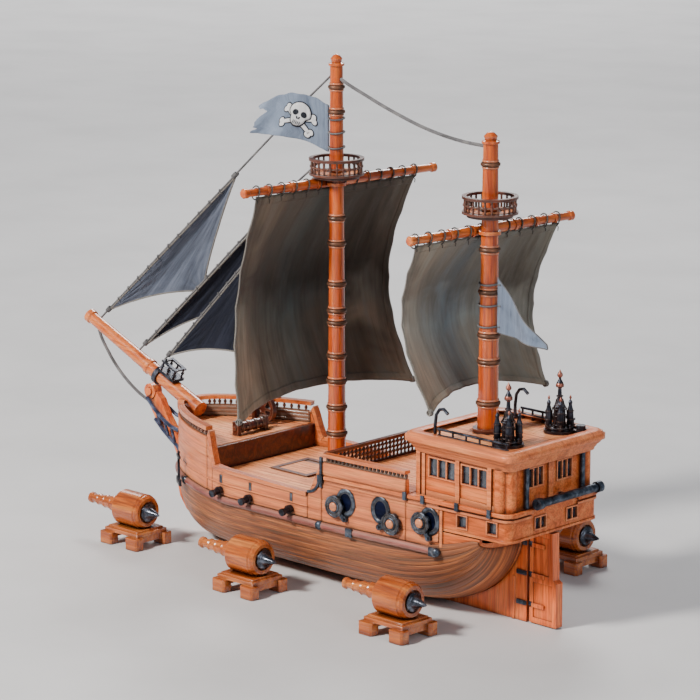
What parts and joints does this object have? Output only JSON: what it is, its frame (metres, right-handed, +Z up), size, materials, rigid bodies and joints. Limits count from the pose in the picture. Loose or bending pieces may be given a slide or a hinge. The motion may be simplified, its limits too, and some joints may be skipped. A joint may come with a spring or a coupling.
{
  "type": "model sailing ship",
  "caption": "Decorative wooden model of a two-masted galleon with dark cloth sails, crow's nests, cabin, gun ports and loose deck guns standing beside it.",
  "frame": {"origin": "on the keel's flat underside, under the main mast", "axes": "+X towards the stern, +Y towards starboard, +Z up the main mast"},
  "size_m": [0.4989, 0.248, 0.386],
  "materials": {
    "upper_wood": "satin varnish",
    "lower_wood": "satin varnish",
    "keel_wood": "gloss varnish",
    "deck_wood": "satin varnish",
    "red_wood": "gloss varnish",
    "wale_wood": "satin varnish",
    "spar_wood": "gloss varnish",
    "gun_wood": "gloss varnish",
    "iron": "dark satin",
    "bow_rail_paint": "dark satin paint",
    "glass": "dark translucent",
    "square_cloth": "coarse dyed cotton",
    "jib_cloth": "coarse dyed cotton",
    "flag_cloth": "coarse dyed cotton",
    "rope": "laid cord"
  },
  "bodies": {
    "ship": {"keel": "keel_wood", "stem_post": "keel_wood", "bow_block": "upper_wood", "hull_planking": "lower_wood", "waist_deck": "deck_wood", "upper_decks": "deck_wood", "deck_bulkheads": "red_wood", "cabin_walls": "upper_wood", "poop_rim": "upper_wood", "cabin_posts": "upper_wood", "stern_counter": "upper_wood", "window_frames": "upper_wood", "window_panes": "glass", "wales": "wale_wood", "side_mouldings": "upper_wood", "cap_rails": "spar_wood", "balustrades": "red_wood", "port_frames": "iron", "broadside_guns": "iron", "side_ironwork": "iron", "stern_ironwork": "iron", "deck_fittings": "red_wood", "poop_ironwork": "iron", "main_mast": "spar_wood", "mizzen_mast": "spar_wood", "mast_bands": "iron", "crow_nests": "red_wood", "bowsprit": "spar_wood", "bow_ironwork": "iron", "head_rails": "bow_rail_paint", "outer_stay": "rope", "inner_stay": "rope", "fore_stay": "rope", "masthead_rope": "rope", "bobstay": "rope", "outer_jib": "jib_cloth", "inner_jib": "jib_cloth", "fore_staysail": "jib_cloth"},
    "lid_p1": {"port_lid_p1": "iron"},
    "lid_p2": {"port_lid_p2": "iron"},
    "lid_p3": {"port_lid_p3": "iron"},
    "lid_s1": {"port_lid_s1": "iron"},
    "lid_s2": {"port_lid_s2": "iron"},
    "lid_s3": {"port_lid_s3": "iron"},
    "windlass": {"windlass_barrel": "red_wood"},
    "main_spar": {"main_yard": "spar_wood", "main_sail": "square_cloth"},
    "mizzen_spar": {"mizzen_yard": "spar_wood", "mizzen_sail": "square_cloth"},
    "flag": {"flag": "flag_cloth"},
    "pennant": {"pennant": "flag_cloth"},
    "rudder": {"rudder": "keel_wood"},
    "gun_1": {"gun_1_barrel": "gun_wood", "gun_1_stand": "gun_wood"},
    "gun_2": {"gun_2_barrel": "gun_wood", "gun_2_stand": "gun_wood"},
    "gun_3": {"gun_3_barrel": "gun_wood", "gun_3_stand": "gun_wood"},
    "gun_4": {"gun_4_barrel": "gun_wood", "gun_4_stand": "gun_wood"}
  },
  "joints": [
    {"name": "lid_p1_swing", "type": "hinge", "parent": "ship", "child": "lid_p1", "pos_m": [0.067, -0.05873, 0.063], "axis": [0.0743, -0.9972, 0], "range_deg": [-48, 24]},
    {"name": "lid_p2_swing", "type": "hinge", "parent": "ship", "child": "lid_p2", "pos_m": [0.099, -0.05635, 0.063], "axis": [0.0743, -0.9972, 0], "range_deg": [0, 68]},
    {"name": "lid_p3_swing", "type": "hinge", "parent": "ship", "child": "lid_p3", "pos_m": [0.1432, -0.05306, 0.063], "axis": [0.0743, -0.9972, 0], "range_deg": [-34, 38]},
    {"name": "lid_s1_swing", "type": "hinge", "parent": "ship", "child": "lid_s1", "pos_m": [0.067, 0.05873, 0.063], "axis": [0.0743, 0.9972, 0], "range_deg": [-24, 48]},
    {"name": "lid_s2_swing", "type": "hinge", "parent": "ship", "child": "lid_s2", "pos_m": [0.099, 0.05635, 0.063], "axis": [0.0743, 0.9972, 0], "range_deg": [-68, 0]},
    {"name": "lid_s3_swing", "type": "hinge", "parent": "ship", "child": "lid_s3", "pos_m": [0.1432, 0.05306, 0.063], "axis": [0.0743, 0.9972, 0], "range_deg": [-38, 34]},
    {"name": "windlass_turn", "type": "hinge", "parent": "ship", "child": "windlass", "pos_m": [-0.092, 0, 0.094], "axis": [0, 1, 0], "continuous": true},
    {"name": "rudder_swing", "type": "hinge", "parent": "ship", "child": "rudder", "pos_m": [0.1915, 0, 0.035], "axis": [0, 0, 1], "range_deg": [-30, 30]},
    {"name": "main_yard_brace", "type": "hinge", "parent": "ship", "child": "main_spar", "pos_m": [0, 0, 0.291], "axis": [0, 0, 1], "range_deg": [-10, 10]},
    {"name": "mizzen_yard_brace", "type": "hinge", "parent": "ship", "child": "mizzen_spar", "pos_m": [0.149, 0, 0.274], "axis": [0, 0, 1], "range_deg": [-10, 3]},
    {"name": "flag_swing", "type": "hinge", "parent": "ship", "child": "flag", "pos_m": [0, 0, 0.33], "axis": [0, 0, 1], "range_deg": [-5, 120]},
    {"name": "pennant_swing", "type": "hinge", "parent": "ship", "child": "pennant", "pos_m": [0.149, 0, 0.223], "axis": [0, 0, 1], "range_deg": [-60, 60]},
    {"name": "gun_1_lift", "type": "slide", "parent": "ship", "child": "gun_1", "axis": [0, 0, 1], "range_m": [0, 0.04]},
    {"name": "gun_2_lift", "type": "slide", "parent": "ship", "child": "gun_2", "axis": [0, 0, 1], "range_m": [0, 0.04]},
    {"name": "gun_3_lift", "type": "slide", "parent": "ship", "child": "gun_3", "axis": [0, 0, 1], "range_m": [0, 0.04]},
    {"name": "gun_4_lift", "type": "slide", "parent": "ship", "child": "gun_4", "axis": [0, 0, 1], "range_m": [0, 0.04]}
  ]
}
